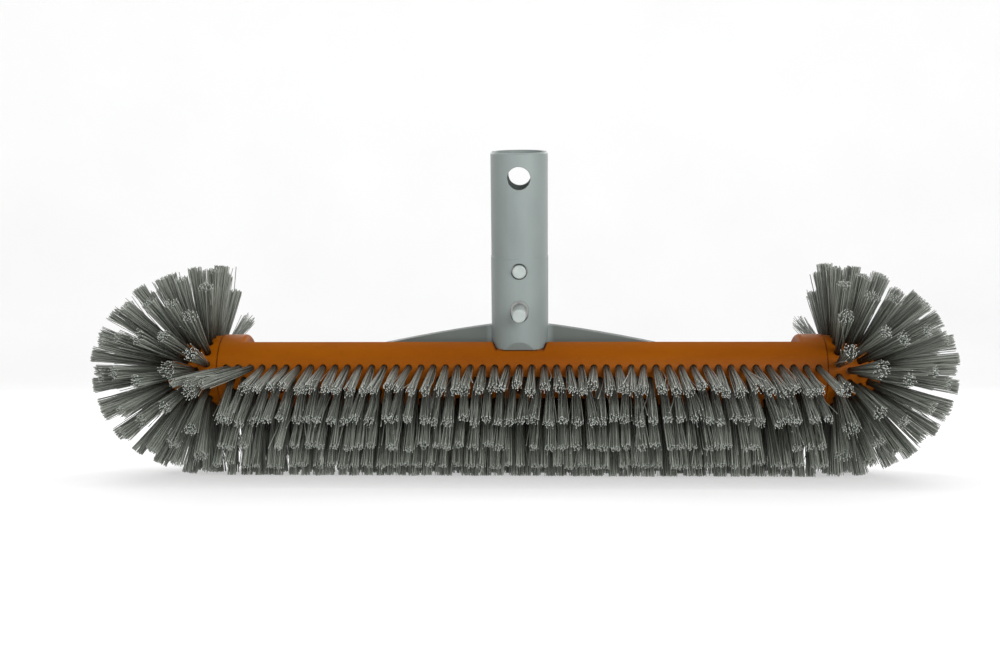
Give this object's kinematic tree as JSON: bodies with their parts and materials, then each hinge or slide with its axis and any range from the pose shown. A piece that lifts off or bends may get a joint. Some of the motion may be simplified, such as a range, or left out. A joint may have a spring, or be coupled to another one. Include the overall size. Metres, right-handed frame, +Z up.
{
  "type": "pool wall brush",
  "caption": "Round pool wall brush with stiff bristle tufts round its body and over its domed ends, and a leaning pole socket with a snap clip.",
  "frame": {"origin": "on the ground under the middle of the brush, at the bottom centre of its box", "axes": "+X along the body to the right end seen from the front, -Y to the front, +Z up; the pole socket leans 14 degrees to the front"},
  "size_m": [0.4434, 0.1094, 0.1652],
  "materials": {
    "body_plastic": "moulded orange plastic, soft gloss",
    "socket_plastic": "moulded cool grey plastic, satin",
    "bristle": "stiff extruded nylon filaments with pale cut ends",
    "spring_steel": "cold-rolled stainless spring strip",
    "stud_plastic": "pale grey moulded plastic, satin",
    "screw_steel": "stainless, passivated",
    "anchor_steel": "flat stainless anchor wire"
  },
  "bodies": {
    "root": {"brush_body": "body_plastic", "left_end_cap": "body_plastic", "right_end_cap": "body_plastic", "handle_socket": "socket_plastic", "handle_screws": "screw_steel", "clip_bow": "spring_steel", "bristle_row_01": "bristle", "bristle_row_02": "bristle", "bristle_row_03": "bristle", "bristle_row_04": "bristle", "bristle_row_05": "bristle", "bristle_row_06": "bristle", "bristle_row_07": "bristle", "bristle_row_08": "bristle", "bristle_row_09": "bristle", "bristle_row_10": "bristle", "bristle_row_11": "bristle", "left_cap_tufts_1": "bristle", "left_cap_tufts_2": "bristle", "left_cap_tufts_3": "bristle", "left_cap_tufts_4": "bristle", "left_cap_tufts_5": "bristle", "left_cap_tufts_6": "bristle", "right_cap_tufts_1": "bristle", "right_cap_tufts_2": "bristle", "right_cap_tufts_3": "bristle", "right_cap_tufts_4": "bristle", "right_cap_tufts_5": "bristle", "right_cap_tufts_6": "bristle", "body_tuft_anchors": "anchor_steel", "left_cap_tuft_anchors": "anchor_steel", "right_cap_tuft_anchors": "anchor_steel"},
    "front_clip": {"front_clip_leaf": "spring_steel", "front_lock_stud": "stud_plastic", "front_press_button": "stud_plastic"},
    "rear_clip": {"rear_clip_leaf": "spring_steel", "rear_lock_stud": "stud_plastic", "rear_press_button": "stud_plastic"}
  },
  "joints": [
    {"name": "front_clip_press", "type": "hinge", "parent": "root", "child": "front_clip", "pos_m": [0, -0.02974, 0.12968], "axis": [1, 0, 0], "range_deg": [0, 4.5], "stiffness_Nm_per_rad": 4, "springref_deg": -2.86},
    {"name": "rear_clip_press", "type": "hinge", "parent": "root", "child": "rear_clip", "pos_m": [0, -0.00975, 0.13467], "axis": [-1, 0, 0], "range_deg": [0, 4.5], "stiffness_Nm_per_rad": 4, "springref_deg": -2.86}
  ]
}
